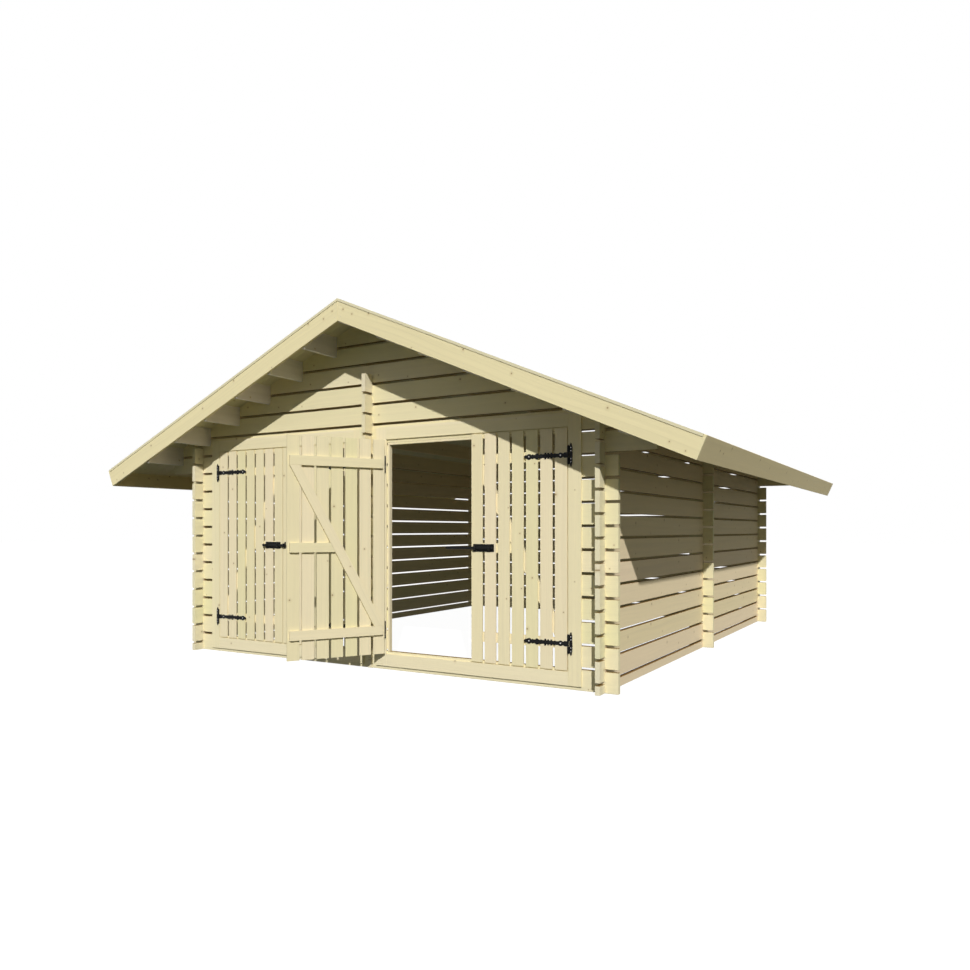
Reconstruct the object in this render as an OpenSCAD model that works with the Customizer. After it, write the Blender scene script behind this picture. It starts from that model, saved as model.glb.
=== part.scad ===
// Log store with slatted double doors, built from notched logs with air gaps between them.
// +X is right and +Y is back, seen from the front. +Z is up.
// The origin is on the ground under the middle of the front wall's outer face.

/* [Logs] */
// Thickness of every log
log_t = 34; // [28:1:40]
// Height of one log
log_h = 140; // [120:1:160]
// Air gap between one log and the next
log_gap = 18; // [14:1:23]
// How far log ends run past the wall that they cross
log_end = 92; // [70:1:110]
// Side play of a log in a notch
notch_play = 0.5; // [0.3:0.1:2]

/* [Walls] */
// Width over the outer faces of the side walls
wall_w = 3884; // [3500:1:4300]
// Depth over the outer faces of the front and back walls
wall_d = 4780; // [3600:1:5600]
// Whole log that runs over the doors, counted from the ground
lintel = 11; // [10:1:12]
// Courses of cross logs above the ground course at the middle of the front and back walls
centre_n = 13; // [11:1:13]
// Height left on the outer face of the top log of a side wall
plate_h = 101; // [90:1:110]
// How far the log below the lintel reaches out past the side wall to carry the eave purlin
bracket_out = 350; // [320:1:400]

/* [Roof] */
// Height of a purlin at its outer face
purlin_h = 145; // [135:1:155]
// Pitch of the roof in degrees
pitch = 23.35; // [20:0.05:27]
// Thickness of the roof boards
roof_t = 18; // [16:1:22]
// From a side wall's outer face to the top edge of the eave board
eave_out = 768; // [680:1:860]
// From the front wall to the face of the front bargeboards
front_out = 388; // [250:1:450]
// From the back wall to the face of the back bargeboards
back_out = 354; // [200:1:450]
// Height of an eave board, square to the slope
fascia_h = 152; // [130:1:170]
// Thickness of bargeboards and eave boards
fascia_t = 20; // [16:1:28]

/* [Doorways] */
// Width between the inner edges of the casings on either side of the middle
post_w = 319; // [290:1:360]
// From a side wall's outer face to the outer casing's inner edge
corner_w = 259; // [230:1:300]
// Width of a casing board
casing_w = 95; // [75:1:110]
// Thickness of a casing board
casing_t = 12.5; // [12:0.5:16]
// Height of the bottom casing board's lower edge above the ground
casing_foot = 26; // [10:1:34]
// Thickness of the lining boards inside the doorway
lining_t = 16; // [12:1:22]
// How far the lining passes the casing's edge to stop the leaves
stop_lap = 22; // [16:1:30]
// How far the leaves lap the sill log
sill_lap = 13; // [9:1:17]
// How far the leaves lap the lining at the head
head_lap = 34; // [26:1:42]

/* [Leaves] */
// Slats in a leaf
slat_n = 7; // [6:1:8]
// Gap between two slats
slat_gap = 18.8; // [12:0.2:24]
// Thickness of a slat
slat_t = 11; // [8:0.5:11.5]
// Gap round a leaf
leaf_gap = 7; // [5:0.5:10]
// Gap between the two leaves of a pair
meet_gap = 8; // [5:0.5:12]
// Height of a ledge and width of the brace
ledge_h = 70; // [55:1:85]
// Thickness of a ledge
ledge_t = 20; // [16:1:24]
// How far a ledge ends short of the leaf's free edge
ledge_in = 15; // [8:1:25]
// Height of the bottom ledge's middle above the ground
ledge_low = 308; // [280:1:340]
// Height of the top ledge's middle above the ground
ledge_high = 1573; // [1540:1:1600]
// Height of the middle ledge and the bolt above the ground
ledge_mid = 942; // [900:1:990]
// How far the open leaf stands open, in degrees
open_angle = 120; // [100:1:145]

/* [Hinges] */
// Length of a hinge strap from its pin
strap_l = 330; // [260:1:380]
// Width of a hinge strap at its pin, without bosses and rings
strap_w = 34; // [28:1:40]
// Thickness of straps and hinge plates
strap_t = 4; // [3:0.5:4.5]
// Width of a hinge plate
plate_w = 21; // [18:1:30]
// Height of a hinge plate over its points
plate_tall = 162; // [150:1:190]
// Radius of a hinge pin
pin_r = 3; // [2:0.5:4]
// Radius of a hinge barrel
barrel_r = 6; // [5.5:0.5:6.5]
// Pin axis in front of the leaf's face
pin_out = 8; // [7.5:0.5:9]
// Pin axis outside the leaf's edge
pin_back = 11.5; // [10:0.5:16]

/* [Bolts] */
// Length of a bolt's plate
bolt_l = 170; // [150:1:180]
// Height of a bolt's plate
bolt_h = 55; // [45:1:65]
// Thickness of a bolt's plate
bolt_t = 3; // [2:0.5:4]
// Radius of a bolt's rod
rod_r = 10; // [7:0.5:11]
// Rod axis in front of the leaf's face
rod_out = 16; // [15.5:0.5:20]
// From the right bolt's plate to the edge of its leaf
right_bolt_in = 17; // [10:1:40]
// How far the right rod reaches past the edge of its leaf
right_rod_reach = 200; // [190:1:220]
// From the left bolt's plate to the edge of its leaf
left_bolt_in = 20; // [14:1:60]
// How far the left rod reaches past the edge of its leaf
left_rod_reach = 46; // [40:1:60]
// How far the left rod's ball stands behind its plate
left_rod_tail = 12; // [8:1:40]
// Width of a keeper
keeper_w = 18; // [14:1:24]

/* [Hidden] */
$fn = 48;

pine = "#d8cda0";
shaded_pine = "#b9ab7e";
iron = "#23262a";

// Air left between solids that belong to one sub-part
joint_gap = 0.5;
// Extra length of a cutting shape past the face that it cuts
over = 1;

// Log courses. Front and back walls lie on whole courses, and the logs that cross them half a course higher.
course = log_h + log_gap;
notch = (log_h - course / 2) / 2;
notch_w = log_t + 2 * notch_play;
half_w = wall_w / 2;
side_x = half_w - log_t / 2;
front_y = log_t / 2;
mid_y = wall_d / 2;
back_y = wall_d - log_t / 2;
function whole_z(k) = k * course;
function half_z(k) = max(0, (k + 0.5) * course);
function half_top(k) = (k + 1.5) * course - log_gap;

// Roof planes. s runs down the slope from the ridge and d goes square into the roof.
plate_z = half_z(lintel) + plate_h;
soffit_z = plate_z + half_w * tan(pitch);
ridge_z = soffit_z + roof_t / cos(pitch);
slope_l = (half_w + eave_out) / cos(pitch) - fascia_t;
roof_y0 = -front_out;
roof_y1 = wall_d + back_out;
function on_roof(s, d) = [s * cos(pitch) - d * sin(pitch), ridge_z - s * sin(pitch) - d * cos(pitch)];
function soffit_at(x) = soffit_z - abs(x) * tan(pitch);

// Purlins. Each lies where its outer face meets the roof boards at its height.
eave_k = lintel - 1;
ridge_k = floor((soffit_z + log_gap) / course - 1);
gable_k = floor((soffit_z - notch) / course - 0.1);
function purlin_x(k) = (soffit_z - half_z(k) - purlin_h) / tan(pitch) - log_t / 2;
purlin_ks = [for (k = [eave_k : ridge_k - 1]) k];

// Doorways, measured for the right-hand pair of leaves
edge_in = post_w / 2;
edge_out = half_w - corner_w;
leaf_w = (edge_out - edge_in - 2 * leaf_gap - meet_gap) / 2;
slat_w = (leaf_w - (slat_n - 1) * slat_gap) / slat_n;
clear_in = edge_in + stop_lap;
clear_out = edge_out - stop_lap;
head_z = whole_z(lintel) - lining_t;
leaf_z0 = log_h - sill_lap;
leaf_z1 = head_z + head_lap;

// Leaves in their own frame: x from the pin to the free edge, y to the inside, z from the ground
leaf_x0 = pin_back;
leaf_x1 = leaf_x0 + leaf_w;
pin_y = -casing_t - pin_out;
inner_pin_x = edge_in + leaf_gap - pin_back;
outer_pin_x = edge_out - leaf_gap + pin_back;
slat_y = pin_out + slat_t;
ledge_x0 = leaf_x0 + stop_lap;
ledge_x1 = leaf_x1 - ledge_in;
hinge_zs = [ledge_low, ledge_high];
knuckle_lap = 1;
knuckle_h = strap_w + 2 * knuckle_lap;
pin_play = 0.4;
barrel_gap = 1;
barrel_h = 45;
rod_y = pin_out - rod_out;
rod_play = 0.5;
keeper_in = 16;
keeper_x = leaf_x1 - keeper_in - keeper_w;
guide_l = 20;
guide_wall = 6;

// Extrude an outline in X and Z along Y, from y
module along_x(y, t = log_t) {
    translate([0, y + t, 0]) rotate([90, 0, 0]) linear_extrude(t) children();
}

// Extrude an outline in Y and Z along X, from x
module along_y(x, t = log_t) {
    translate([x, 0, 0]) rotate([90, 0, 90]) linear_extrude(t) children();
}

module both_sides() {
    children();
    mirror([1, 0, 0]) children();
}

// Side view of a log from a to b, with notches in its lower and upper edges
module log_outline(a, b, z0, z1, low, high) {
    difference() {
        translate([a, z0]) square([b - a, z1 - z0]);
        for (p = low) translate([p - notch_w / 2, z0 - over]) square([notch_w, notch + over]);
        for (p = high) translate([p - notch_w / 2, z1 - notch]) square([notch_w, notch + over]);
    }
}

// Everything under the roof boards, seen from the front
module under_roof() {
    x = half_w + eave_out;
    polygon([[0, soffit_z], [x, soffit_at(x)], [x, -over], [-x, -over], [-x, soffit_at(x)]]);
}

// Places where half-course logs cross whole log k from below and from above
function crossings(k) = concat(
    k <= lintel ? [-side_x, side_x] : [],
    k <= centre_n ? [0] : [],
    [for (p = purlin_ks) if (p == k) each [-purlin_x(k), purlin_x(k)]],
    k == ridge_k ? [0] : []);

// Log k of a front or back wall from a to b, cut to the roof
module whole_log(y, k, a, b) {
    along_x(y) intersection() {
        log_outline(a, b, whole_z(k), whole_z(k) + log_h, crossings(k - 1), crossings(k));
        under_roof();
    }
}

// Reach of log k to either side: log ends, then the eave brackets, then the gable
function reach(k) =
    k < eave_k ? half_w + log_end :
    k == eave_k ? half_w + bracket_out :
    k == lintel ? half_w + eave_out :
    half_w - log_t - notch_play;

// Half-course log k along Y, from a to b
module cross_log(x, k, a, b, ys, last) {
    along_y(x - log_t / 2)
        log_outline(a, b, half_z(k), half_top(k), k < 0 ? [] : ys, k < last ? ys : []);
}

module front_sill_log() color(pine) whole_log(0, 0, -reach(0), reach(0));

module front_outer_logs() {
    for (k = [1 : lintel - 1]) whole_log(0, k, clear_out + lining_t, reach(k));
}

module front_left_logs() color(pine) mirror([1, 0, 0]) front_outer_logs();

module front_right_logs() color(pine) front_outer_logs();

module front_centre_logs() color(pine) {
    end = clear_in - lining_t;
    for (k = [1 : lintel - 1]) whole_log(0, k, -end, end);
}

module lintel_log() color(pine) whole_log(0, lintel, -reach(lintel), reach(lintel));

module gable_logs(y) {
    for (k = [lintel + 1 : gable_k]) whole_log(y, k, -reach(k), reach(k));
}

module front_gable_logs() color(pine) gable_logs(0);

module back_gable_logs() color(pine) gable_logs(wall_d - log_t);

module back_wall_logs() color(pine) {
    for (k = [0 : lintel]) whole_log(wall_d - log_t, k, -reach(k), reach(k));
}

// Logs of the right side wall. The top one is planed to the roof.
module side_wall_logs() {
    ys = [front_y, mid_y, back_y];
    for (k = [-1 : lintel - 1]) cross_log(side_x, k, -log_end, wall_d + log_end, ys, lintel);
    intersection() {
        cross_log(side_x, lintel, -log_end, wall_d + log_end, ys, lintel);
        along_x(-log_end - over, wall_d + 2 * log_end + 2 * over) under_roof();
    }
}

module left_wall_logs() color(pine) mirror([1, 0, 0]) side_wall_logs();

module right_wall_logs() color(pine) side_wall_logs();

// Short logs ks that tie a front or back wall together at its middle
module centre_cross_logs(y, ks, out = log_end) {
    for (k = ks) cross_log(0, k, y - log_t / 2 - out, y + log_t / 2 + log_end, [y], centre_n + 1);
}

// The two beside the front sill log end flush with the casings
module front_cross_logs() color(pine) {
    centre_cross_logs(front_y, [-1, 0], casing_t);
    centre_cross_logs(front_y, [1 : centre_n]);
}

module back_cross_logs() color(pine) centre_cross_logs(back_y, [-1 : centre_n]);

// Inner end of cross log k in a side wall. The top one stops at the purlin beside it.
function cross_end(k) =
    max(half_w - log_t - log_end, k == lintel ? purlin_x(k) + notch_w / 2 : 0);

// Short logs that tie both side walls together at mid depth
module side_cross_logs() color(pine) both_sides() {
    for (k = [0 : lintel]) along_x(mid_y - log_t / 2) intersection() {
        log_outline(cross_end(k), half_w + log_end, whole_z(k), whole_z(k) + log_h, [side_x], [side_x]);
        under_roof();
    }
}

// Purlin k at x, notched over the gable logs and planed to the roof
module purlin(k, x) {
    y0 = roof_y0 + fascia_t;
    y1 = roof_y1 - fascia_t;
    tall = 2 * log_h;
    intersection() {
        along_y(x - log_t / 2) difference() {
            translate([y0, half_z(k)]) square([y1 - y0, tall]);
            for (y = [front_y, back_y]) translate([y - notch_w / 2, 0]) {
                translate([0, half_z(k) - over]) square([notch_w, notch + over]);
                if (k < gable_k) translate([0, whole_z(k + 1) + notch]) square([notch_w, tall]);
            }
        }
        along_x(y0 - over, y1 - y0 + 2 * over) under_roof();
    }
}

module purlins() color(shaded_pine) {
    both_sides() for (k = purlin_ks) purlin(k, purlin_x(k));
    purlin(ridge_k, 0);
}

module roof_boards() {
    along_x(roof_y0, roof_y1 - roof_y0)
        polygon([[0, ridge_z], on_roof(slope_l, 0), on_roof(slope_l, roof_t), [0, soffit_z]]);
}

module left_roof_boards() color(pine) mirror([1, 0, 0]) roof_boards();

module right_roof_boards() color(pine) roof_boards();

// Bargeboard under the ends of the roof boards, plumb at the ridge and square at the eave.
// Its lower end steps up to cover the end of the eave board.
module bargeboard(y) {
    end = slope_l + fascia_t;
    along_x(y, fascia_t)
        polygon([[0, soffit_z], on_roof(slope_l, roof_t), on_roof(slope_l, 0), on_roof(end, 0),
            on_roof(end, fascia_h), [0, ridge_z - fascia_h / cos(pitch)]]);
}

module front_left_bargeboard() color(pine) mirror([1, 0, 0]) bargeboard(roof_y0);

module front_right_bargeboard() color(pine) bargeboard(roof_y0);

module back_left_bargeboard() color(pine) mirror([1, 0, 0]) bargeboard(roof_y1 - fascia_t);

module back_right_bargeboard() color(pine) bargeboard(roof_y1 - fascia_t);

module eave_board() {
    along_x(roof_y0 + fascia_t, roof_y1 - roof_y0 - 2 * fascia_t)
        polygon([on_roof(slope_l, 0), on_roof(slope_l + fascia_t, 0),
            on_roof(slope_l + fascia_t, fascia_h), on_roof(slope_l, fascia_h)]);
}

module left_eave_board() color(pine) mirror([1, 0, 0]) eave_board();

module right_eave_board() color(pine) eave_board();

// Four boards on the wall's face round one doorway, with a gap between any two
module door_casing() {
    z0 = leaf_z0 - leaf_gap;
    z1 = leaf_z1 + leaf_gap;
    across = edge_out - edge_in - 2 * joint_gap;
    for (x = [edge_in - casing_w, edge_out])
        translate([x, -casing_t, casing_foot]) cube([casing_w, casing_t, z1 + casing_w - casing_foot]);
    translate([edge_in + joint_gap, -casing_t, casing_foot]) cube([across, casing_t, z0 - casing_foot]);
    translate([edge_in + joint_gap, -casing_t, z1]) cube([across, casing_t, casing_w]);
}

module left_door_casing() color(pine) mirror([1, 0, 0]) door_casing();

module right_door_casing() color(pine) door_casing();

// Boards over the log ends and under the lintel log, which stop the leaves
module door_lining() {
    tall = whole_z(lintel) - log_h;
    for (x = [clear_in - lining_t, clear_out]) translate([x, 0, log_h]) cube([lining_t, log_t, tall]);
    translate([clear_in + joint_gap, 0, head_z])
        cube([clear_out - clear_in - 2 * joint_gap, log_t, lining_t]);
}

module left_door_lining() color(pine) mirror([1, 0, 0]) door_lining();

module right_door_lining() color(pine) door_lining();

// Leaf frames on the two pins of the right-hand pair, which mirror() turns into the left-hand ones
module on_inner_pin(angle = 0) {
    translate([inner_pin_x, pin_y, 0]) rotate([0, 0, -angle]) children();
}

module on_outer_pin() {
    translate([outer_pin_x, pin_y, 0]) mirror([1, 0, 0]) children();
}

module slats() {
    for (i = [0 : slat_n - 1])
        translate([leaf_x0 + i * (slat_w + slat_gap), pin_out, leaf_z0])
            cube([slat_w, slat_t, leaf_z1 - leaf_z0]);
}

// Lower edge of the brace: from the bottom ledge, one slat in from the hinges, to the top ledge's free end
brace_low = [leaf_x0 + slat_w, ledge_low + ledge_h / 2];
brace_high = [ledge_x1, ledge_high - ledge_h / 2];
brace_lean = atan2(brace_high[1] - brace_low[1], brace_high[0] - brace_low[0]);

// Band that lies along the brace's lower edge, from the given offset to the hinge side of it
module brace_band(from, w) {
    long = ledge_high - ledge_low;
    translate(brace_low) rotate(brace_lean) translate([-long, from]) square([3 * long, w]);
}

// Two full ledges, a short middle one and a brace, on the inside of the slats
module ledges() {
    along_x(slat_y, ledge_t) {
        for (z = hinge_zs) translate([ledge_x0, z - ledge_h / 2]) square([ledge_x1 - ledge_x0, ledge_h]);
        difference() {
            translate([ledge_x0, ledge_mid - ledge_h / 2]) square([ledge_x1 - ledge_x0, ledge_h]);
            brace_band(-joint_gap, 2 * leaf_w);
        }
        intersection() {
            brace_band(0, ledge_h);
            translate([ledge_x0, ledge_low + ledge_h / 2 + joint_gap])
                square([ledge_x1 - ledge_x0, ledge_high - ledge_low - ledge_h - 2 * joint_gap]);
        }
    }
}

// Forged strap seen from the front: a shank with two screw bosses, a collar of three rings, a bead and a tip
module strap_outline() {
    half = strap_w / 2;
    neck = 0.7 * half;
    ring_w = 0.018 * strap_l;
    translate([0, -half]) square([0.1 * strap_l, strap_w]);
    translate([0, -neck]) square([0.94 * strap_l, 2 * neck]);
    translate([0.18 * strap_l, 0]) circle(1.05 * half);
    for (x = [0.385, 0.455]) translate([x * strap_l, -1.15 * half]) square([ring_w, 2.3 * half]);
    translate([0.52 * strap_l, -1.33 * half]) square([ring_w, 2.66 * half]);
    translate([0.713 * strap_l, 0]) circle(half);
    translate([0.9 * strap_l, 0]) circle(1.15 * half);
    translate([strap_l - neck, 0]) circle(neck);
}

module straps() {
    for (z = hinge_zs) translate([0, 0, z]) difference() {
        union() {
            along_x(pin_out - strap_t, strap_t) strap_outline();
            cylinder(r = barrel_r, h = knuckle_h, center = true);
        }
        cylinder(r = pin_r + pin_play, h = knuckle_h + 2 * over, center = true);
    }
}

// Upper arm of a hinge plate: narrow at the hub, full in the middle and pointed at its end
function plate_arm(x, side) = [for (p = [[-0.34, 0.1], [-0.5, 0.19], [-0.46, 0.33], [-0.3, 0.4], [-0.3, 0.44], [0, 0.5],
    [0.3, 0.44], [0.3, 0.4], [0.46, 0.33], [0.5, 0.19], [0.34, 0.1]]) [x + p[0] * plate_w, side * p[1] * plate_tall]];

// Plate on the casing with two barrels and the pin that carries a strap
module hinge_plate() {
    x1 = -barrel_r - barrel_gap;
    mid = x1 - plate_w / 2;
    hub = 0.12 * plate_tall;
    along_x(pin_out - strap_t, strap_t) {
        translate([mid - plate_w / 2, -hub]) square([plate_w, 2 * hub]);
        for (side = [-1, 1]) polygon(plate_arm(mid, side));
    }
    for (m = [0, 1]) mirror([0, 0, m]) translate([0, 0, knuckle_h / 2 + barrel_gap]) {
        cylinder(r = barrel_r, h = barrel_h);
        translate([x1 - over, pin_out - strap_t, 0]) cube([over - x1, barrel_r + strap_t - pin_out, barrel_h]);
    }
    cylinder(r = pin_r, h = knuckle_h + 2 * barrel_h, center = true);
}

module hinge_plates() color(iron) both_sides() {
    for (z = hinge_zs) {
        on_inner_pin() translate([0, 0, z]) hinge_plate();
        on_outer_pin() translate([0, 0, z]) hinge_plate();
    }
}

// Round loop for a rod, standing on the leaf's face
module guide(x, l) {
    loop_r = rod_r + guide_wall;
    waist = 0.9 * loop_r;
    difference() {
        union() {
            translate([x, rod_y, ledge_mid]) rotate([0, 90, 0]) cylinder(r = loop_r, h = l);
            translate([x, rod_y, ledge_mid - waist]) cube([l, rod_out, 2 * waist]);
        }
        translate([x - over, rod_y, ledge_mid]) rotate([0, 90, 0])
            cylinder(r = rod_r + rod_play, h = l + 2 * over);
    }
}

// Bolt plate with its two guides, ending inset from the leaf's free edge
module bolt_plate(inset) {
    x0 = leaf_x1 - inset - bolt_l;
    translate([x0, pin_out - bolt_t, ledge_mid - bolt_h / 2]) cube([bolt_l, bolt_t, bolt_h]);
    for (x = [x0 + guide_l, x0 + bolt_l - 1.5 * guide_l]) guide(x, guide_l);
}

// Round rod along the leaf from a to b, with a knob on its near end and a tapered tip
module rod(a, b) {
    knob = 0.8 * rod_r;
    translate([a, rod_y, ledge_mid]) rotate([0, 90, 0]) {
        cylinder(r = rod_r, h = b - a);
        translate([0, 0, b - a]) cylinder(r1 = rod_r, r2 = 0.7 * rod_r, h = 0.6 * rod_r);
        translate([0, 0, -knob]) cylinder(r1 = 0.9 * rod_r, r2 = 1.25 * rod_r, h = knob);
        cylinder(r1 = 1.25 * rod_r, r2 = rod_r, h = 0.6 * rod_r);
    }
}

module keeper() {
    translate([keeper_x, pin_out - bolt_t, ledge_mid - bolt_h / 2]) cube([keeper_w, bolt_t, bolt_h]);
    guide(keeper_x, keeper_w);
}

// The leaf of the left pair that stands behind the open leaf
module on_fixed_leaf() {
    mirror([1, 0, 0]) on_inner_pin() children();
}

module fixed_leaf_slats() color(pine) on_fixed_leaf() slats();

module fixed_leaf_ledges() color(pine) on_fixed_leaf() ledges();

module fixed_leaf_straps() color(iron) on_fixed_leaf() straps();

module left_bolt_keeper() color(iron) on_fixed_leaf() keeper();

// The outer leaf of the left pair, which carries the left bolt
module on_left_leaf() {
    mirror([1, 0, 0]) on_outer_pin() children();
}

module left_leaf_slats() color(pine) on_left_leaf() slats();

module left_leaf_ledges() color(pine) on_left_leaf() ledges();

module left_leaf_straps() color(iron) on_left_leaf() straps();

module left_bolt_plate() color(iron) on_left_leaf() bolt_plate(left_bolt_in);

module left_bolt_rod() color(iron)
    on_left_leaf() rod(leaf_x1 - left_bolt_in - bolt_l - left_rod_tail, leaf_x1 + left_rod_reach);

// The inner leaf of the right pair, which stands open
module open_leaf_slats() color(pine) on_inner_pin(open_angle) slats();

module open_leaf_ledges() color(pine) on_inner_pin(open_angle) ledges();

module open_leaf_straps() color(iron) on_inner_pin(open_angle) straps();

module right_bolt_keeper() color(iron) on_inner_pin(open_angle) keeper();

// The outer leaf of the right pair, which carries the right bolt
module right_leaf_slats() color(pine) on_outer_pin() slats();

module right_leaf_ledges() color(pine) on_outer_pin() ledges();

module right_leaf_straps() color(iron) on_outer_pin() straps();

module right_bolt_plate() color(iron) on_outer_pin() bolt_plate(right_bolt_in);

module right_bolt_rod() color(iron)
    on_outer_pin() rod(leaf_x1 - right_bolt_in - bolt_l + 0.6 * guide_l, leaf_x1 + right_rod_reach);

front_sill_log();
front_left_logs();
front_centre_logs();
front_right_logs();
lintel_log();
front_gable_logs();
back_wall_logs();
back_gable_logs();
left_wall_logs();
right_wall_logs();
front_cross_logs();
back_cross_logs();
side_cross_logs();
purlins();
left_roof_boards();
right_roof_boards();
front_left_bargeboard();
front_right_bargeboard();
back_left_bargeboard();
back_right_bargeboard();
left_eave_board();
right_eave_board();
left_door_casing();
right_door_casing();
left_door_lining();
right_door_lining();
hinge_plates();
fixed_leaf_slats();
fixed_leaf_ledges();
fixed_leaf_straps();
left_bolt_keeper();
left_leaf_slats();
left_leaf_ledges();
left_leaf_straps();
left_bolt_plate();
left_bolt_rod();
open_leaf_slats();
open_leaf_ledges();
open_leaf_straps();
right_bolt_keeper();
right_leaf_slats();
right_leaf_ledges();
right_leaf_straps();
right_bolt_plate();
right_bolt_rod();
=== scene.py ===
import math

import bpy
import numpy as np
from mathutils import Euler, Matrix, Vector


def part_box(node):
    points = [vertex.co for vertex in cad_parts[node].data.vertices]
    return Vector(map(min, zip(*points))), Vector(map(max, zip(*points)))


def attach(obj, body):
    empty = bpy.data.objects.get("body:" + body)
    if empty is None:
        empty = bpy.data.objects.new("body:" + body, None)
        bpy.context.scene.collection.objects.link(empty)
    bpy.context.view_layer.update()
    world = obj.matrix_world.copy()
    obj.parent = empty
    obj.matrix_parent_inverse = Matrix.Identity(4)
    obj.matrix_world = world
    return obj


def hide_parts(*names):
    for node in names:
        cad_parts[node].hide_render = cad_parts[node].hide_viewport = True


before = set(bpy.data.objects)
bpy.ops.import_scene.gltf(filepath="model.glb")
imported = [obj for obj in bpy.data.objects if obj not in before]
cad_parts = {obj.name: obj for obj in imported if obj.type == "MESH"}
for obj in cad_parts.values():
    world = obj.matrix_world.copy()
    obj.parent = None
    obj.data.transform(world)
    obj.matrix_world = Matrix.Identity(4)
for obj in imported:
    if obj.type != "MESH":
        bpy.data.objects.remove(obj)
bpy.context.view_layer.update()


# Logs. Planed pine, 34 mm thick, notched where they cross and laid dry with air gaps between the courses.
# Whole courses run across the front and back, half courses from front to back. The timber is untreated.

def put(tree, kind, into=None, **settings):
    """Adds a node. Settings are its properties, and into gives its inputs: a socket is linked, and a value
    is set."""
    made = tree.nodes.new(kind)
    for name, value in settings.items():
        setattr(made, name, value)
    for name, value in (into or {}).items():
        socket = made.inputs[name]
        if isinstance(value, bpy.types.NodeSocket):
            tree.links.new(value, socket)
        else:
            socket.default_value = value
    return made


def sums(tree, operation, *values):
    """One Math node over sockets and numbers, returning its result."""
    return put(tree, "ShaderNodeMath", dict(enumerate(values)), operation=operation).outputs[0]


def vectors(tree, operation, *values):
    """One Vector Math node over sockets, returning its outputs."""
    return put(tree, "ShaderNodeVectorMath", dict(enumerate(values)), operation=operation).outputs


def joined(tree, x, y, z=0.0):
    """A vector from three sockets or numbers."""
    return put(tree, "ShaderNodeCombineXYZ", {0: x, 1: y, 2: z}).outputs[0]


def parted(tree, vector):
    """The X, Y and Z of a vector."""
    return put(tree, "ShaderNodeSeparateXYZ", {0: vector}).outputs


def object_place(tree):
    """Object coordinates, which are metres in the part's own frame."""
    return put(tree, "ShaderNodeTexCoord").outputs["Object"]


def stretched(tree, places, per_metre):
    """A vector of three coordinates, each times its own number of steps in a metre."""
    return joined(tree, *(sums(tree, "MULTIPLY", place, steps) for place, steps in zip(places, per_metre)))


def noise(tree, place, scale, detail, roughness=0.5):
    """Soft noise over a vector."""
    return put(tree, "ShaderNodeTexNoise", {"Vector": place, "Scale": scale, "Detail": detail,
                                            "Roughness": roughness}).outputs["Fac"]


def faded(tree, value, zero_at, one_at):
    """Zero to one as a value goes from zero_at to one_at."""
    return put(tree, "ShaderNodeMapRange", {"Value": value, "From Min": zero_at,
                                            "From Max": one_at}).outputs[0]


def tinted(tree, factor, first, second, how="MIX"):
    """Two colours, mixed or multiplied by a factor."""
    return put(tree, "ShaderNodeMix", {"Factor": factor, 6: first, 7: second},
               data_type="RGBA", blend_type=how).outputs[2]


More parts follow.
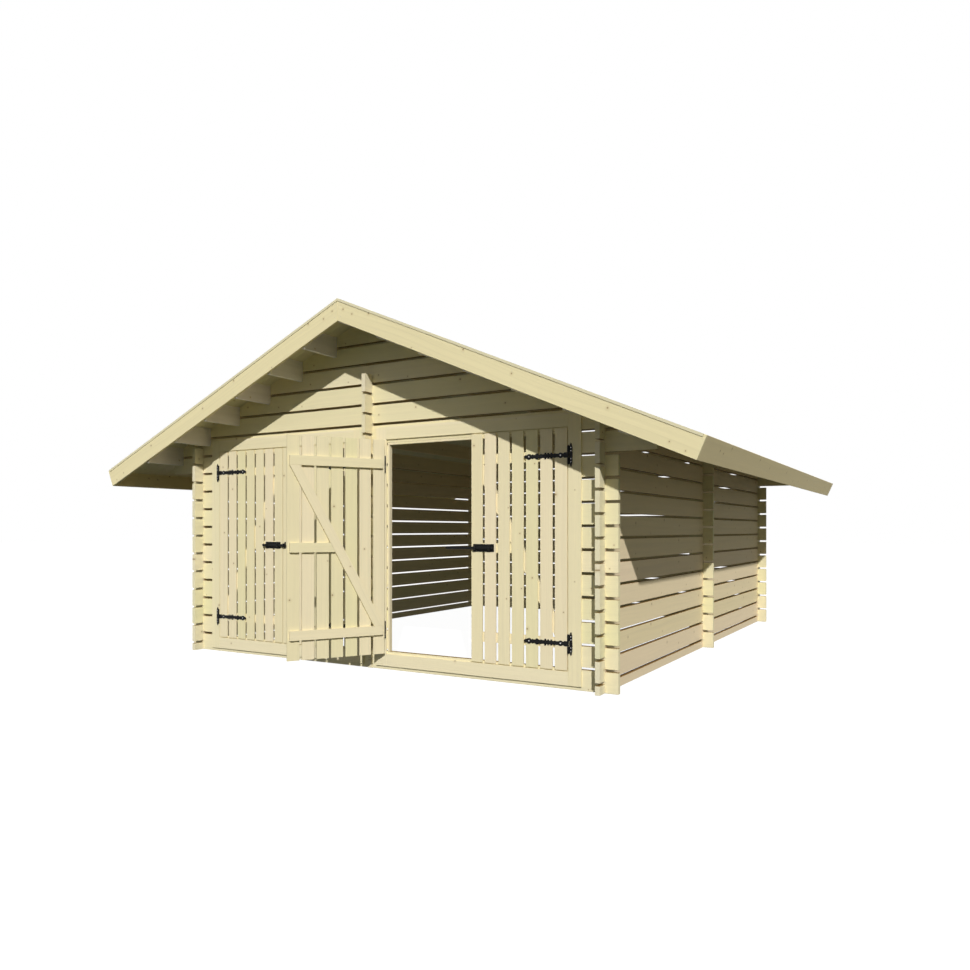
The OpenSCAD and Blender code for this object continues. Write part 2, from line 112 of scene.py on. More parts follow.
def pine_grain_group():
    """Solid wood in metres: X along the grain, Y across the boards, Z through them. Growth rings are the
    distance from a pith line that each board puts somewhere else and that wanders along it. Streaks are noise
    drawn out along the grain, and knots are round spots at scattered points, which go through the board. Past
    a given distance from a board's middle the wood is darker and browner: painted shade for the faces in the
    gaps between logs."""
    tree = bpy.data.node_groups.new("pine grain", "ShaderNodeTree")
    for name, kind, side in (
        ("Vector", "NodeSocketVector", "INPUT"),
        ("Board Width", "NodeSocketFloat", "INPUT"),
        ("Tone", "NodeSocketColor", "INPUT"),
        ("Tone Spread", "NodeSocketFloat", "INPUT"),
        ("Knot Spacing", "NodeSocketFloat", "INPUT"),
        ("Gap Shade From", "NodeSocketFloat", "INPUT"),
        ("Color", "NodeSocketColor", "OUTPUT"),
        ("Roughness", "NodeSocketFloat", "OUTPUT"),
        ("Height", "NodeSocketFloat", "OUTPUT"),
    ):
        tree.interface.new_socket(name=name, in_out=side, socket_type=kind)
    given = tree.nodes.new("NodeGroupInput").outputs
    place = parted(tree, given["Vector"])
    board = sums(tree, "FLOOR", sums(tree, "DIVIDE", place["Y"], given["Board Width"]))
    dice = put(tree, "ShaderNodeTexWhiteNoise", {"W": board}, noise_dimensions="1D").outputs
    throw = put(tree, "ShaderNodeSeparateColor", {0: dice["Color"]}).outputs

    board_shift, wander, wander_scale = 23.0, 0.05, 0.9
    pith_aside, pith_behind, pith_least = 0.08, 0.07, 0.015
    rings_per_metre, late_wood = 210.0, 2.5
    along = sums(tree, "MULTIPLY_ADD", dice["Value"], board_shift, place["X"])
    middle = sums(tree, "MULTIPLY", sums(tree, "ADD", board, 0.5), given["Board Width"])
    across = sums(tree, "SUBTRACT", place["Y"], middle)
    sway = put(tree, "ShaderNodeTexNoise", {"W": along, "Scale": wander_scale, "Detail": 1.0},
               noise_dimensions="1D").outputs["Fac"]
    drift = sums(tree, "MULTIPLY_ADD", sway, wander, -wander / 2)
    pith_y = sums(tree, "ADD", across, sums(tree, "MULTIPLY_ADD", throw[0], pith_aside, drift))
    pith_z = sums(tree, "ADD", place["Z"], sums(tree, "MULTIPLY_ADD", throw[1], pith_behind, pith_least))
    ring = vectors(tree, "LENGTH", joined(tree, pith_y, pith_z))["Value"]
    late = sums(tree, "POWER", sums(tree, "FRACT", sums(tree, "MULTIPLY", ring, rings_per_metre)), late_wood)

    streak_steps, fibre_steps = (0.9, 34.0, 34.0), (14.0, 520.0, 520.0)
    streak = noise(tree, stretched(tree, (along, pith_y, pith_z), streak_steps), 1.0, 3.0, 0.62)
    fibre = noise(tree, stretched(tree, (along, across, place["Z"]), fibre_steps), 1.0, 1.0)

    knot_least, knot_spread, knots_missing = 0.003, 0.005, 0.42
    core_share, halo_share = 0.55, 3.2
    spacing = given["Knot Spacing"], given["Board Width"]
    cell = joined(tree, *(sums(tree, "DIVIDE", at, step) for at, step in zip((along, place["Y"]), spacing)))
    scatter = put(tree, "ShaderNodeTexVoronoi", {"Vector": cell, "Scale": 1.0, "Randomness": 0.85},
                  voronoi_dimensions="2D").outputs
    off = vectors(tree, "SUBTRACT", cell, scatter["Position"])[0]
    reach = vectors(tree, "LENGTH", vectors(tree, "MULTIPLY", off, joined(tree, *spacing))[0])["Value"]
    chance = put(tree, "ShaderNodeSeparateColor", {0: scatter["Color"]}).outputs
    size = sums(tree, "MULTIPLY_ADD", chance[1], knot_spread, knot_least)
    size = sums(tree, "MULTIPLY", size, sums(tree, "GREATER_THAN", chance[0], knots_missing))
    near = faded(tree, reach, size, sums(tree, "MULTIPLY", size, core_share))
    halo = faded(tree, reach, sums(tree, "MULTIPLY", size, halo_share), size)

    tint = put(tree, "ShaderNodeValToRGB", {"Fac": throw[2]})
    stops = tint.color_ramp.elements
    stops[0].color = (0.995, 0.97, 0.92, 1)
    stops[1].color = (0.965, 0.985, 0.89, 1)
    for at, colour in (
        (0.30, (0.975, 0.98, 0.94, 1)),
        (0.62, (1.02, 1.0, 1.02, 1)),
        (0.82, (0.985, 0.97, 0.965, 1)),
    ):
        stops.new(at).color = colour
    wood = tinted(tree, given["Tone Spread"], given["Tone"], tint.outputs["Color"], "MULTIPLY")
    shade = sums(tree, "MULTIPLY_ADD", streak, 0.15, 0.94)
    for detail, gain, base in ((late, -0.04, 1.0), (fibre, 0.05, 0.975)):
        shade = sums(tree, "MULTIPLY", shade, sums(tree, "MULTIPLY_ADD", detail, gain, base))
    wood = put(tree, "ShaderNodeVectorMath", {0: wood, "Scale": shade}, operation="SCALE").outputs[0]
    halo_tone, core_tone, gap_shade_tone = (0.58, 0.46, 0.24, 1), (0.27, 0.17, 0.07, 1), (0.40, 0.29, 0.15, 1)
    wood = tinted(tree, sums(tree, "MULTIPLY", halo, 0.3), wood, halo_tone)
    wood = tinted(tree, sums(tree, "MULTIPLY", near, 0.7), wood, core_tone)
    # Painted shade: faces far from a board's middle, such as log tops and bottoms in the gaps, are darkened
    # and browned.
    gap_shade = sums(tree, "GREATER_THAN", sums(tree, "ABSOLUTE", across), given["Gap Shade From"])
    wood = tinted(tree, gap_shade, wood, gap_shade_tone, "MULTIPLY")
    rough = sums(tree, "MULTIPLY_ADD", streak, 0.22, 0.50)
    height = sums(tree, "ADD", sums(tree, "MULTIPLY", late, -0.5), sums(tree, "MULTIPLY", fibre, 0.5))
    put(tree, "NodeGroupOutput", {"Color": wood, "Roughness": rough, "Height": height})
    return tree


pine_grain = pine_grain_group()
x_way, y_way, z_way = (1, 0, 0), (0, 1, 0), (0, 0, 1)
# A distance that no board reaches, so that no painted gap shade is drawn.
no_gap_shade = 1.0


def grain_way(along, across, start=(0, 0, 0)):
    """Turn and shift that bring the along, across and through directions of a board to X, Y and Z, with start
    at zero."""
    along, across = Vector(along).normalized(), Vector(across).normalized()
    turn = Matrix((along, across, along.cross(across)))
    return turn.to_euler("XYZ"), -(turn @ Vector(start))


def lay_grain(tree, way):
    """Object coordinates turned so that the grain runs along X."""
    turn, shift = way
    return put(tree, "ShaderNodeMapping", {"Vector": object_place(tree), "Location": shift,
                                           "Rotation": turn}).outputs[0]


def plain_material(name, flat):
    """A new material, its nodes and its Principled shader, with the inputs set that are flat all over."""
    made = bpy.data.materials.new(name)
    made.use_nodes = True
    face = made.node_tree.nodes["Principled BSDF"]
    for socket, value in flat.items():
        face.inputs[socket].default_value = value
    return made, made.node_tree, face


def feed(tree, face, sources):
    """Links sockets to a shader's inputs by name."""
    for socket, source in sources.items():
        tree.links.new(source, face.inputs[socket])


def pine(name, width, tone, way, spread=0.85, knots=0.55, gap_shade_from=no_gap_shade):
    """Untreated planed pine: the shared grain under a matt surface. way is how the grain lies, or a function
    that gives its coordinates, and tone is a colour, or a function that gives one by place."""
    made, tree, face = plain_material(name, {"Specular IOR Level": 0.05})
    grain = put(tree, "ShaderNodeGroup", {
        "Vector": way(tree) if callable(way) else lay_grain(tree, way),
        "Board Width": width,
        "Tone": tone(tree) if callable(tone) else (*tone, 1),
        "Tone Spread": spread,
        "Knot Spacing": knots,
        "Gap Shade From": gap_shade_from,
    }, node_tree=pine_grain).outputs
    relief = put(tree, "ShaderNodeBump", {"Height": grain["Height"], "Strength": 0.35, "Distance": 0.0008})
    feed(tree, face, {"Base Color": grain["Color"], "Roughness": grain["Roughness"],
                      "Normal": relief.outputs[0]})
    return made


def ease_edges(name, width):
    """Takes the sharp edges off a CAD piece: its triangles are joined, flat ones become one face, and corners
    are chamfered."""
    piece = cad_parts[name]
    join = piece.modifiers.new("join", "WELD")
    join.merge_threshold = 1e-5
    flat = piece.modifiers.new("flat", "DECIMATE")
    flat.decimate_type = "DISSOLVE"
    flat.angle_limit = math.radians(1)
    edge = piece.modifiers.new("edge", "BEVEL")
    edge.width = width
    edge.segments = 1
    edge.limit_method = "ANGLE"
    edge.harden_normals = True
    edge.angle_limit = math.radians(35)


def finish_wood(names, material, edge):
    """Gives CAD pieces their wood and eased edges."""
    for name in names:
        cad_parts[name].material_slots[0].material = material
        ease_edges(name, edge)


log_h, log_gap, log_edge, log_knots = 0.140, 0.018, 0.0012, 0.35
course = log_h + log_gap
wall_w, wall_d = 3.884, 4.780
across_tone = (0.857, 0.789, 0.516)
deep_tone = (0.820, 0.752, 0.520)
# The side walls' pine is warmer than the rest: painted light, for the warmer light that falls on the sides.
side_warm_light_tone = (0.905, 0.765, 0.520)
end_tone = (0.830, 0.775, 0.545)
# The purlin ends' pine is cooler and paler: painted light, for the cool light under the eaves.
purlin_cool_light_tone = (0.842, 0.800, 0.750)


def log_pine(name, tone, along, lift, gap_shade_from=log_h / 2 - log_edge):
    """Pine for logs that run along one way. lift is the height of the lowest course, and each log fills a
    course but its gap. The logs' tops and bottoms, in the gaps between courses, carry painted shade."""
    way = grain_way(along, z_way, (0, 0, lift - log_gap / 2))
    return pine(name, course, tone, way, knots=log_knots, gap_shade_from=gap_shade_from)


def ends_apart(outer_tone, axis="Y", first=0.0, last=wall_d):
    """The side walls' warmer tone between first and last along an axis, where the crossing walls stand:
    painted light, for the warmer light on the sides. Another tone goes on the ends that stand out past them."""
    def tone(tree):
        at = parted(tree, object_place(tree))[axis]
        from_mid = sums(tree, "ABSOLUTE", sums(tree, "SUBTRACT", at, (first + last) / 2))
        outside = sums(tree, "GREATER_THAN", from_mid, (last - first) / 2)
        return tinted(tree, outside, (*side_warm_light_tone, 1), (*outer_tone, 1))
    return tone


whole_lift, half_lift = 0.0, -course / 2
back_tone = ends_apart(across_tone, "X", -wall_w / 2, wall_w / 2)
for names, wood in (
    (("front_sill_log", "front_left_logs", "front_centre_logs", "front_right_logs", "lintel_log",
      "front_gable_logs", "side_cross_logs"), log_pine("pine logs across", across_tone, x_way, whole_lift)),
    (("back_wall_logs", "back_gable_logs"), log_pine("pine back logs", back_tone, x_way, whole_lift)),
    (("front_cross_logs", "back_cross_logs"), log_pine("pine cross logs", deep_tone, y_way, half_lift)),
    (("left_wall_logs", "right_wall_logs"),
     log_pine("pine side logs", ends_apart(end_tone), y_way, half_lift)),
    (("purlins",), log_pine("pine purlins", ends_apart(purlin_cool_light_tone), y_way, half_lift, no_gap_shade)),
):
    finish_wood(names, wood, log_edge)


# Roof boards. Pine boards 18 mm thick that run from ridge to eave over the purlins, edge to edge, with a
# small chamfer on both faces of every joint. Each is held to every purlin by two nails.

sides = (("left", -1), ("right", 1))
pitch = math.radians(23.35)
slope_cos, slope_sin = math.cos(pitch), math.sin(pitch)
roof_board_t, board_proud, joint_dip = 0.018, 0.004, 0.002
roof_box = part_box("right_roof_boards")
front_end, back_end, ridge_z = roof_box[0][1], roof_box[1][1], roof_box[1][2]
boards_up = 58
board_w = (back_end - front_end) / boards_up
roof_tone = (0.785, 0.725, 0.505)


def on_slope(s, d, hand):
    """X and Z of a point s down the slope from the ridge and d into the roof, on the right (1) or the
    left (-1)."""
    return hand * (s * slope_cos - d * slope_sin), ridge_z - s * slope_sin - d * slope_cos


def shape(name, points, faces, body, material):
    """A new piece on a body from arrays of points and of faces."""
    mesh = bpy.data.meshes.new(name)
    mesh.from_pydata(np.asarray(points).tolist(), [], faces)
    mesh.materials.append(material)
    mesh.validate()
    piece = bpy.data.objects.new(name, mesh)
    bpy.context.scene.collection.objects.link(piece)
    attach(piece, body)
    return piece


def boarded_slope(name, node, hand, material):
    """A profile along Y, flat over each board and dipping at each joint, carried down the slope from a plumb
    cut at the ridge to a square cut at the eave. The upper and lower faces and the four edges close it."""
    low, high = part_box(node)
    y0, y1 = low[1] - board_proud, high[1] + board_proud
    wide = (y1 - y0) / boards_up
    starts = y0 + wide * np.arange(boards_up)
    y = np.append((starts[:, None] + np.array([0, joint_dip, wide - joint_dip])).ravel(), y1)
    sunk = np.append(np.tile([joint_dip, 0, 0], boards_up), joint_dip)
    sunk[[0, -1]] = 0
    slope_l = max(abs(low[0]), abs(high[0])) / slope_cos
    rim = []
    for d in (sunk, roof_board_t - sunk):
        x, z = on_slope(slope_l, d, hand)
        rim += [np.stack([0 * y, y, high[2] - d / slope_cos], 1), np.stack([x, y, z], 1)]
    n = len(y)
    points = np.concatenate([rim[0], rim[1], rim[3], rim[2]])
    ring = np.arange(4)[:, None] * n + np.arange(n - 1)
    after = np.roll(ring, -1, 0)
    quads = np.stack([ring, ring + 1, after + 1, after], -1).reshape(-1, 4)
    ends = np.array([[3 * n, 2 * n, n, 0], [n - 1, 2 * n - 1, 3 * n - 1, 4 * n - 1]])
    faces = np.concatenate([quads, ends])
    if hand > 0:
        faces = faces[:, ::-1]
    piece = shape(name, points, faces.tolist(), "root", material)
    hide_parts(node)


for side, hand in sides:
    way = grain_way((hand * slope_cos, 0, -slope_sin), y_way, (0, front_end, ridge_z))
    boarded_slope(side + "_roof_boarding", side + "_roof_boards", hand,
                  pine(side + " roof pine", board_w, roof_tone, way))


# Bargeboards and eave boards. Planed pine boards, 20 mm thick, nailed to the purlin ends and along the eaves
# under the roof boards. Their grain follows the slope on the gables and runs level along the eaves.

barge_tone = (0.846, 0.764, 0.459)
# The eave boards' pine is darker than the bargeboards': painted shade, for the dimmer light on their faces.
eave_shade_tone = (0.815, 0.700, 0.410)
fascia_cell, fascia_drop, fascia_edge = 0.19, 0.2, 0.002
fascia_spread, fascia_knots = 0.5, 0.14
for side, hand in sides:
    down = (hand * slope_cos, 0, -slope_sin)
    up = (hand * slope_sin, 0, slope_cos)
    for names, wood_name, tone, along in (
        ((f"front_{side}_bargeboard", f"back_{side}_bargeboard"), " bargeboard pine", barge_tone, down),
        ((f"{side}_eave_board",), " eave pine", eave_shade_tone, y_way),
    ):
        way = grain_way(along, up, (0, 0, ridge_z - fascia_drop))
        wood = pine(side + wood_name, fascia_cell, tone, way, fascia_spread, fascia_knots)
        finish_wood(names, wood, fascia_edge)


# Door casings and linings. Planed boards nailed to the wall's face round each doorway, and others over the
# log ends inside it. The side boards stand, and the head and sill boards lie between them.

edge_in, edge_out, casing_w, casing_front = 0.1595, 1.683, 0.095, -0.0125
door_frame_cell, door_frame_edge = 0.13, 0.001
upright_start, lying_start = 0.03, 0.02
planed_tone = (0.868, 0.780, 0.522)
casing_tone = (0.876, 0.800, 0.540)


def either(tree, pick, first, second):
    """The first vector where pick is zero, and the second where it is one."""
    return put(tree, "ShaderNodeMix", {"Factor": pick, 4: first, 5: second}, data_type="VECTOR").outputs[1]


def casing_grain(tree):
    """Level grain between the side boards and upright grain on them, told apart by the distance from the
    middle."""
    away = sums(tree, "ABSOLUTE", parted(tree, object_place(tree))["X"])
    level = sums(tree, "MULTIPLY", sums(tree, "GREATER_THAN", away, edge_in),
                 sums(tree, "LESS_THAN", away, edge_out))
    upright = lay_grain(tree, grain_way(z_way, x_way, (upright_start, 0, 0)))
    lying = lay_grain(tree, grain_way(x_way, z_way, (0, 0, lying_start)))
    return either(tree, level, upright, lying)


casing_pine = pine("casing pine", door_frame_cell, casing_tone, casing_grain)
lining_pine = pine("lining pine", door_frame_cell, planed_tone, grain_way(z_way, x_way))
finish_wood(("left_door_casing", "right_door_casing"), casing_pine, door_frame_edge)
finish_wood(("left_door_lining", "right_door_lining"), lining_pine, door_frame_edge)


# Door leaves. Seven upright slats each, 91 x 11 mm, nailed to two ledges, a half ledge and a brace behind
# them. The open leaf's boards keep their own grain, turned with the leaf about its pins.

slat_n, slat_step, slat_gap, slat_edge = 7, 0.109936, 0.0188, 0.001
slat_spread, slat_knots, leaf_shift = 1.0, 0.6, 3.1
ledge_cell, ledge_spread, ledge_knots, ledge_lift = 0.20, 0.8, 0.5, 0.2
inner_pin, outer_pin, pin_y = 0.155, 1.6875, -0.0205
leaf_edge = 0.0115
brace_low, brace_high = (0.1026, 0.343), (0.74725, 1.538)
brace_inset, brace_from = 0.01, 0.0097
open_angle = math.radians(120)
# The open leaf's pine is darker than the closed leaves': painted shade, for the different light on the open
# leaf.
open_leaf_shade_tone = (0.820, 0.740, 0.494)
# Name, pin, side on which the leaf lies, angle at rest, body
leaves = (
    ("fixed_leaf", -inner_pin, -1, 0.0, "root"),
    ("left_leaf", -outer_pin, 1, 0.0, "left_leaf"),
    ("open_leaf", inner_pin, 1, open_angle, "open_leaf"),
    ("right_leaf", outer_pin, -1, 0.0, "right_leaf"),
)


def leaf_ways(pin, hand, angle):
    """Directions of a leaf at rest: out from its pins along it, through it to the inside, and its pin."""
    out = Vector((hand * math.cos(angle), -math.sin(angle), 0))
    through = Vector((hand * math.sin(angle), math.cos(angle), 0))
    return out, through, Vector((pin, pin_y, 0))


def ledge_grain(tree, out, pin):
    """Grain along the ledges, except on the brace between them, where it follows the brace."""
    low, high = Vector(brace_low), Vector(brace_high)
    lean = (high - low).normalized()
    level = lay_grain(tree, grain_way(out, z_way, pin + Vector((0, 0, ledge_lift))))
    start = pin + out * low[0] + Vector((0, 0, low[1]))
    rise = out * lean[0] + Vector((0, 0, lean[1]))
    side = Vector((0, 0, lean[0])) - out * lean[1]
    braced = lay_grain(tree, grain_way(rise, side, start - side * brace_inset))
    over = parted(tree, braced)["Y"]
    z = parted(tree, object_place(tree))["Z"]
    on_brace = sums(tree, "MULTIPLY", sums(tree, "GREATER_THAN", over, brace_from),
                    sums(tree, "COMPARE", z, (low[1] + high[1]) / 2, (high[1] - low[1]) / 2))
    return either(tree, on_brace, level, braced)


for leaf, pin, hand, angle, body in leaves:
    out, _, foot = leaf_ways(pin, hand, angle)
    start = foot + out * (leaf_edge - slat_gap / 2) + Vector((0, 0, leaf_shift * pin))
    tone = open_leaf_shade_tone if leaf == "open_leaf" else planed_tone
    slat_pine = pine(leaf + " slat pine", slat_step, tone, grain_way(z_way, out, start),
                     slat_spread, slat_knots)
    finish_wood([leaf + "_slats"], slat_pine, slat_edge)
    ledge_pine = pine(leaf + " ledge pine", ledge_cell, tone, lambda tree: ledge_grain(tree, out, foot),
                      ledge_spread, ledge_knots)
    finish_wood([leaf + "_ledges"], ledge_pine, slat_edge)


# Hinges and bolts. Forged strap hinges on plates with pins, and round bolts that slide in guides into
# keepers. All have a satin black coat with faint hammer marks, and are screwed to the leaves and casings.

def black_iron_finish():
    """Black coat over forged iron: broad hammer marks and a fine orange-peel in the relief, and duller
    patches."""
    made, tree, face = plain_material("black iron", {"Specular IOR Level": 0.1})
    place = object_place(tree)
    marks = put(tree, "ShaderNodeTexVoronoi", {"Vector": place, "Scale": 95.0},
                feature="SMOOTH_F1").outputs["Distance"]
    peel = noise(tree, place, 900.0, 2.0)
    patch = noise(tree, place, 38.0, 3.0)
    height = sums(tree, "ADD", marks, sums(tree, "MULTIPLY", peel, 0.15))
    relief = put(tree, "ShaderNodeBump", {"Height": height, "Strength": 0.5, "Distance": 0.0012})
    feed(tree, face, {
        "Base Color": tinted(tree, patch, (0.006, 0.006, 0.006, 1), (0.014, 0.015, 0.015, 1)),
        "Roughness": sums(tree, "MULTIPLY_ADD", patch, 0.3, 0.36),
        "Normal": relief.outputs[0]})
    return made


black_iron = black_iron_finish()
iron_edge = 0.0008
for name in ("hinge_plates", "fixed_leaf_straps", "left_leaf_straps", "open_leaf_straps", "right_leaf_straps",
             "left_bolt_keeper", "left_bolt_plate", "right_bolt_keeper", "right_bolt_plate",
             "left_bolt_rod", "right_bolt_rod"):
    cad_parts[name].material_slots[0].material = black_iron
    if "rod" not in name:
        ease_edges(name, iron_edge)


# Forged beads on the straps. Raised round and oval swellings, drawn out of the strap with its tip, in the
# same iron. They stand on the slats as the strap does and rise a little above its face.

strap_l, strap_front = 0.330, 0.004
hinge_heights = (0.308, 1.573)
bead_crown, bead_lift, bead_foot = 0.0012, 0.0002, -0.0038
# Place along the strap as a share of its length, half length and half width
beads = np.array([
    (0.305, 0.0100, 0.0150), (0.385, 0.0085, 0.0205), (0.455, 0.0085, 0.0205), (0.522, 0.0095, 0.0230),
    (0.620, 0.0100, 0.0155), (0.713, 0.0170, 0.0205), (0.815, 0.0100, 0.0155), (0.975, 0.0140, 0.0115)])


def dome_faces(count, spokes, rings):
    """Faces of closed domes, each of a pole, rings + 1 rings of points from the pole outwards and a pole
    below: quads between the rings, and a fan of triangles round each pole."""
    here = np.arange(spokes)
    after = (here + 1) % spokes
    band = 1 + spokes * np.arange(rings)[:, None]
    wider = band + spokes
    quads = np.stack([band + here, wider + here, wider + after, band + after], -1).reshape(-1, 4)
    last = 1 + spokes * (rings + 1)
    fans = np.concatenate([np.stack([0 * here, 1 + here, 1 + after], -1),
                           np.stack([0 * here + last, last - spokes + after, last - spokes + here], -1)])
    step = (last + 1) * np.arange(count)[:, None, None]
    return (quads + step).reshape(-1, 4), (fans + step).reshape(-1, 3)


def on_leaf(spots, out, through, foot):
    """Leaf places (along the leaf, through it, up) as points in the frame."""
    spots = np.atleast_2d(spots)
    return (np.array(foot) + spots[:, :1] * np.array(out) + spots[:, 1:2] * np.array(through)
            + spots[:, 2:] * np.array(z_way))


def strap_beads(name, out, through, foot, body, spokes=20, rings=4):
    """Domes over angle and radius: an oval of a bead's two half widths, risen by 1 - r^2 above the strap's
    face, with a rim that goes straight down to the slats, a pole above and a closed underside. One stands at
    each bead of a strap."""
    turn = 2 * np.pi * np.arange(spokes) / spokes
    r = np.append(np.arange(1, rings + 1) / rings, 1.0)[:, None]
    rise = bead_crown * (1 - r ** 2) + bead_lift
    rise[-1] = bead_foot
    rows = np.stack([r * np.cos(turn), r * np.sin(turn), rise + 0 * turn], -1).reshape(-1, 3)
    one = np.concatenate([[[0, 0, bead_crown + bead_lift]], rows, [[0, 0, bead_foot]]])
    at, half_l, half_w = np.tile(beads, (len(hinge_heights), 1)).T
    z = np.repeat(hinge_heights, len(beads))
    along = at[:, None] * strap_l + half_l[:, None] * one[:, 0]
    deep = strap_front - one[:, 2] + 0 * along
    up = z[:, None] + half_w[:, None] * one[:, 1]
    points = on_leaf(np.stack([along, deep, up], -1).reshape(-1, 3), out, through, foot)
    faces = dome_faces(len(z), spokes, rings)
    if np.cross(out, z_way) @ -np.array(through) < 0:
        faces = [f[:, ::-1] for f in faces]
    shape(name, points, faces[0].tolist() + faces[1].tolist(), body, black_iron)


for leaf, pin, hand, angle, body in leaves:
    strap_beads(leaf + "_strap_beads", *leaf_ways(pin, hand, angle), body)


# Screws and nails. Zinc-plated pan-head screws hold the straps and hinge plates, and black ones the bolts and
# keepers. Small bright nails hold the slats, the casings, the bargeboards and the roof boards.

def bright_steel_finish():
    """Zinc on steel: pale metal that is duller in small patches."""
    made, tree, face = plain_material("bright steel", {"Metallic": 1.0})
    patch = noise(tree, object_place(tree), 700.0, 2.0)
    feed(tree, face, {
        "Base Color": tinted(tree, patch, (0.50, 0.50, 0.49, 1), (0.70, 0.70, 0.68, 1)),
        "Roughness": sums(tree, "MULTIPLY_ADD", patch, 0.25, 0.28)})
    return made


bright_steel = bright_steel_finish()
# Radius, crown, points round, rings, and half width of the cross slot as a share of the radius
leaf_screw = (0.0042, 0.0018, 12, 4, 0.16)
plate_screw = (0.0034, 0.0014, 12, 4, 0.16)
slat_nail = (0.0016, 0.0004, 8, 1, 0.0)
casing_nail = (0.0012, 0.0003, 8, 1, 0.0)
barge_nail = (0.0018, 0.0004, 8, 1, 0.0)
roof_nail = (0.0028, 0.0006, 8, 1, 0.0)
slot_reach, slot_sunk, head_sunk = 0.75, 0.45, 0.0003
askew = (0.31, 0.17, 0.94)


def heads(name, seats, ways, kind, body, finish=bright_steel):
    """Round heads on a body. One head is a dome over angle and radius, crown * (1 - 0.75 r^2), sunk in a
    cross of half width slot_w, with a pole above and a closed underside. It is set at each seat, square to
    its way."""
    radius, crown, spokes, rings, slot_w = kind
    turn = 2 * np.pi * np.arange(spokes) / spokes
    r = np.arange(1, rings + 1)[:, None] / rings
    x, y = r * np.cos(turn), r * np.sin(turn)
    cross = (np.minimum(np.abs(x), np.abs(y)) < slot_w) & (r < slot_reach)
    dome = crown * (1 - 0.75 * r ** 2 + 0 * x) - slot_sunk * crown * cross
    rows = np.stack([radius * x, radius * y, dome], -1).reshape(-1, 3)
    hem = np.stack([radius * x[-1], radius * y[-1], 0 * x[-1] - head_sunk], -1)
    top = crown * (1 - slot_sunk if slot_w else 1.0)
    one = np.concatenate([[[0, 0, top]], rows, hem, [[0, 0, -head_sunk]]])
    seats, ways = np.asarray(seats, float), np.broadcast_to(np.asarray(ways, float), (len(seats), 3))
    side = np.cross(ways, askew)
    side /= np.linalg.norm(side, axis=1)[:, None]
    third = np.cross(ways, side)
    points = (seats[:, None] + one[:, 0, None] * side[:, None] + one[:, 1, None] * third[:, None]
              + one[:, 2, None] * ways[:, None])
    quads, fans = dome_faces(len(seats), spokes, rings)
    shape(name, points.reshape(-1, 3), quads.tolist() + fans.tolist(), body, finish)


leaf_w, ledge_mid = 0.75075, 0.942
flange_front, slat_front = 0.005, 0.008
strap_screw_at = (0.18, 0.9)
bolt_l, bolt_screw_back, bolt_screw_fore, bolt_screw_z = 0.170, 0.009, 0.005, 0.021
bolt_insets = {"left_leaf": 0.020, "right_leaf": 0.017}
keeper_inset, keeper_screw_z = 0.025, 0.0225
plate_screw_x, plate_screw_zs = -0.0175, (-0.048, -0.027, 0.027, 0.048)
strap_spots = [(at * strap_l, strap_front, z) for at in strap_screw_at for z in hinge_heights]
plate_spots = [(plate_screw_x, strap_front, z + dz) for z in hinge_heights for dz in plate_screw_zs]

slat_mid, slat_nail_dx = 0.0458, 0.028
brace_lead, brace_stop, half_ledge_from = 0.035, 0.70, 0.46
brace_lean = (brace_high[1] - brace_low[1]) / (brace_high[0] - brace_low[0])
slats = leaf_edge + slat_step * np.arange(slat_n) + slat_mid
slat_spots = [(x + dx, slat_front, z) for x in slats for dx in (-slat_nail_dx, slat_nail_dx)
              for z in hinge_heights]
slat_spots += [(x, slat_front, brace_low[1] + (x + brace_lead - brace_low[0]) * brace_lean)
               for x in slats if x + brace_lead < brace_stop]
slat_spots += [(x, slat_front, ledge_mid) for x in slats if x > half_ledge_from]

plate_seats = []
for leaf, pin, hand, angle, body in leaves:
    ways = leaf_ways(pin, hand, angle)
    front = -ways[1]
    heads(leaf + "_screws", on_leaf(strap_spots, *ways), front, leaf_screw, body)
    if leaf in bolt_insets:
        end = leaf_edge + leaf_w - bolt_insets[leaf]
        spots = [(x, flange_front, ledge_mid + dz)
                 for x in (end - bolt_l + bolt_screw_back, end - bolt_screw_fore)
                 for dz in (-bolt_screw_z, bolt_screw_z)]
    else:
        spots = [(leaf_edge + leaf_w - keeper_inset, flange_front, ledge_mid + dz)
                 for dz in (-keeper_screw_z, keeper_screw_z)]
    heads(leaf + "_bolt_screws", on_leaf(spots, *ways), front, leaf_screw, body, black_iron)
    heads(leaf + "_nails", on_leaf(slat_spots, *ways), front, slat_nail, body)
    plate_seats.append(on_leaf(plate_spots, *leaf_ways(pin, hand, 0.0)))
heads("plate_screws", np.concatenate(plate_seats), (0, -1, 0), plate_screw, "root")

jamb_x, jamb_nail_dx, jamb_nail_zs = edge_out + casing_w / 2, 0.025, np.linspace(0.1, 1.8, 7)
rail_nail_in, rail_nail_zs = 0.06, (0.05, 0.095, 1.785, 1.835)
rail_nail_xs = np.linspace(edge_in + rail_nail_in, edge_out - rail_nail_in, 6)
jamb = [(hand * (jamb_x + dx), casing_front, z)
        for side, hand in sides for dx in (-jamb_nail_dx, jamb_nail_dx) for z in jamb_nail_zs]
rails = [(hand * x, casing_front, z) for side, hand in sides for x in rail_nail_xs for z in rail_nail_zs]
heads("casing_nails", jamb + rails, (0, -1, 0), casing_nail, "root")

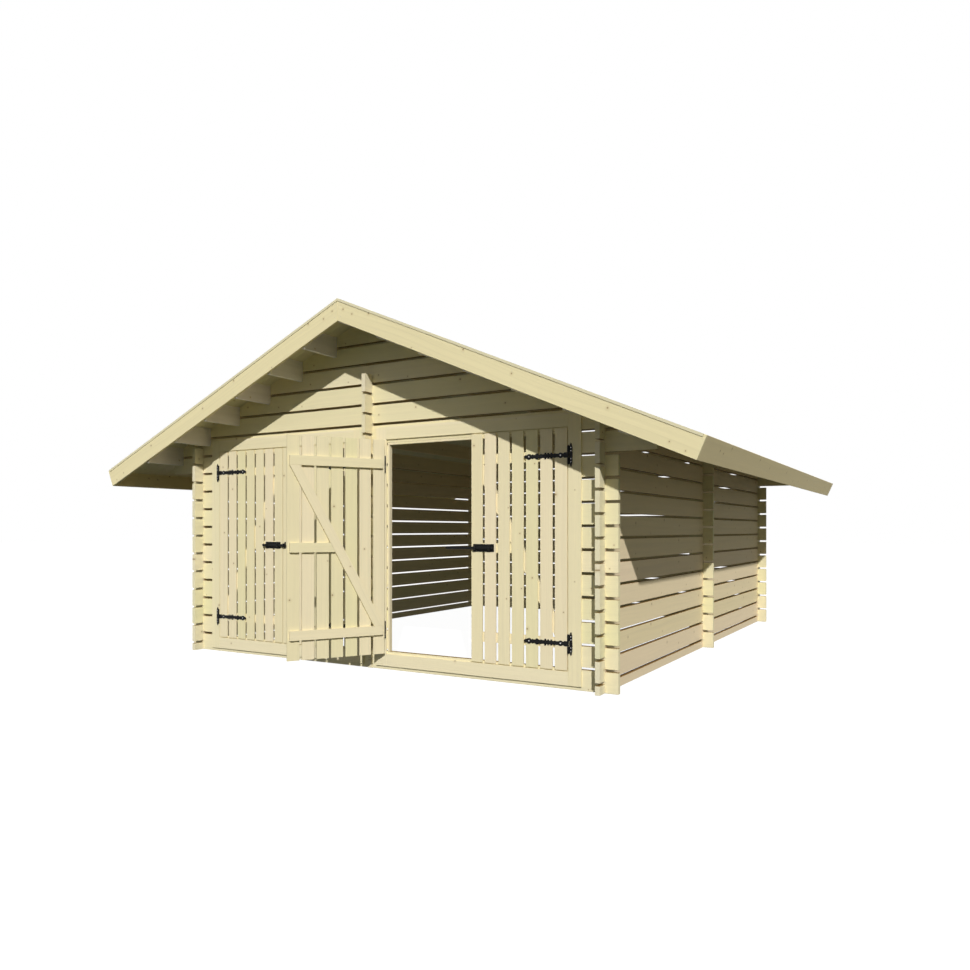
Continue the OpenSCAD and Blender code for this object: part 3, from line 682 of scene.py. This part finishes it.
log_t, purlin_h, purlin_courses, ridge_row = 0.034, 0.145, range(10, 16), 0.03
barge_nail_ds, board_nail_at = (0.05, 0.115), (0.22, 0.78)
slope_tan = math.tan(pitch)
under_boards = ridge_z - roof_board_t / slope_cos
nail_rows = [(under_boards - (k + 0.5) * course - purlin_h) / slope_tan - log_t / 2 for k in purlin_courses]
nail_rows.append(ridge_row)
barge = [on_slope(x / slope_cos + d * slope_tan, d, hand)
         for x in nail_rows for side, hand in sides for d in barge_nail_ds]
for end, y, out_way in (("front", front_end, -1), ("back", back_end, 1)):
    heads(end + "_barge_nails", [(x, y, z) for x, z in barge], (0, out_way, 0), barge_nail, "root")
for side, hand in sides:
    rows = [on_slope(x / slope_cos, 0.0, hand) for x in nail_rows]
    seats = [(x, front_end + (i + part) * board_w, z)
             for x, z in rows for i in range(boards_up) for part in board_nail_at]
    heads(side + "_roof_nails", seats, (hand * slope_sin, 0, slope_cos), roof_nail, "root")


# Floor and light. A plain white floor that keeps a faint shadow and gives off a faint glow as painted bounce
# light, a low sun from the front right, a soft cool light from the front left, a soft one from behind on the
# left and an even, slightly warm sky.

def camera_rays(tree):
    """One where a ray comes straight from the camera or from gloss or glass, so that these see plain
    white."""
    path = put(tree, "ShaderNodeLightPath").outputs
    seen = sums(tree, "MAXIMUM", path["Is Camera Ray"], path["Is Glossy Ray"])
    return sums(tree, "MAXIMUM", seen, path["Is Transmission Ray"])


floor_paint = bpy.data.materials.new("white floor")
floor_paint.use_nodes = True
tree = floor_paint.node_tree
tree.nodes.clear()
dull = put(tree, "ShaderNodeBsdfDiffuse", {"Color": (0.15, 0.15, 0.15, 1)}).outputs[0]
bright = put(tree, "ShaderNodeEmission", {"Color": (1, 1, 1, 1), "Strength": 0.975}).outputs[0]
both = put(tree, "ShaderNodeAddShader", {0: dull, 1: bright}).outputs[0]
# The floor's glow for all but camera, gloss and glass rays: painted bounce light from the ground.
bounce = put(tree, "ShaderNodeEmission", {"Color": (0.863, 1.0, 0.863, 1), "Strength": 0.073}).outputs[0]
mixed = put(tree, "ShaderNodeMixShader", {0: camera_rays(tree), 1: bounce, 2: both}).outputs[0]
put(tree, "ShaderNodeOutputMaterial", {"Surface": mixed})
floor_reach, floor_z = 60.0, -0.0005
corners = [(x * floor_reach, y * floor_reach, floor_z) for x, y in ((-1, -1), (1, -1), (1, 1), (-1, 1))]
ground = bpy.data.meshes.new("floor")
ground.from_pydata(corners, [], [(0, 1, 2, 3)])
ground.materials.append(floor_paint)
floor = bpy.data.objects.new("floor", ground)
bpy.context.scene.collection.objects.link(floor)

sky = bpy.data.worlds.new("sky")
bpy.context.scene.world = sky
sky.use_nodes = True
tree = sky.node_tree
tree.nodes.clear()
fill = put(tree, "ShaderNodeBackground", {"Color": (1.0, 0.976, 0.832, 1), "Strength": 0.2585}).outputs[0]
white = put(tree, "ShaderNodeBackground", {"Color": (1, 1, 1, 1), "Strength": 1.0}).outputs[0]
mixed = put(tree, "ShaderNodeMixShader", {0: camera_rays(tree), 1: fill, 2: white}).outputs[0]
put(tree, "ShaderNodeOutputWorld", {"Surface": mixed})

lamp_away = 4
# Name, strength, spread in degrees, colour, way the light travels
for name, energy, spread, colour, travel in (
    ("sun", 3.14, 1.0, (1.0, 0.985, 0.987), (-1.66, 2.454, -1.87)),
    ("soft front light", 0.115, 50.0, (0.48, 0.51, 1.0), (0.75, 1.0, -0.25)),
    ("soft back light", 0.20, 50.0, (1.0, 0.98, 0.96), (0.65, -1.0, -0.5)),
):
    light = bpy.data.lights.new(name, "SUN")
    light.energy = energy
    light.angle = math.radians(spread)
    light.color = colour
    lamp = bpy.data.objects.new(name, light)
    lamp.rotation_euler = Vector(travel).to_track_quat("-Z", "Y").to_euler()
    lamp.location = -lamp_away * Vector(travel)
    bpy.context.scene.collection.objects.link(lamp)


# Camera. A level view from the front right, from a little over a metre above the ground.
# Its lens, turn and upward shift frame the store as in the photograph.

lens = bpy.data.cameras.new("camera")
lens.sensor_width = 36
lens.lens = 29.489
lens.shift_y = 0.04609
lens.clip_end = 200
camera = bpy.data.objects.new("camera", lens)
camera.location = (3.8971, -4.8815, 1.0718)
camera.rotation_euler = Euler((math.radians(90), 0, math.radians(30.419)))
bpy.context.scene.collection.objects.link(camera)
bpy.context.scene.camera = camera
bpy.context.scene.view_settings.view_transform = "Standard"
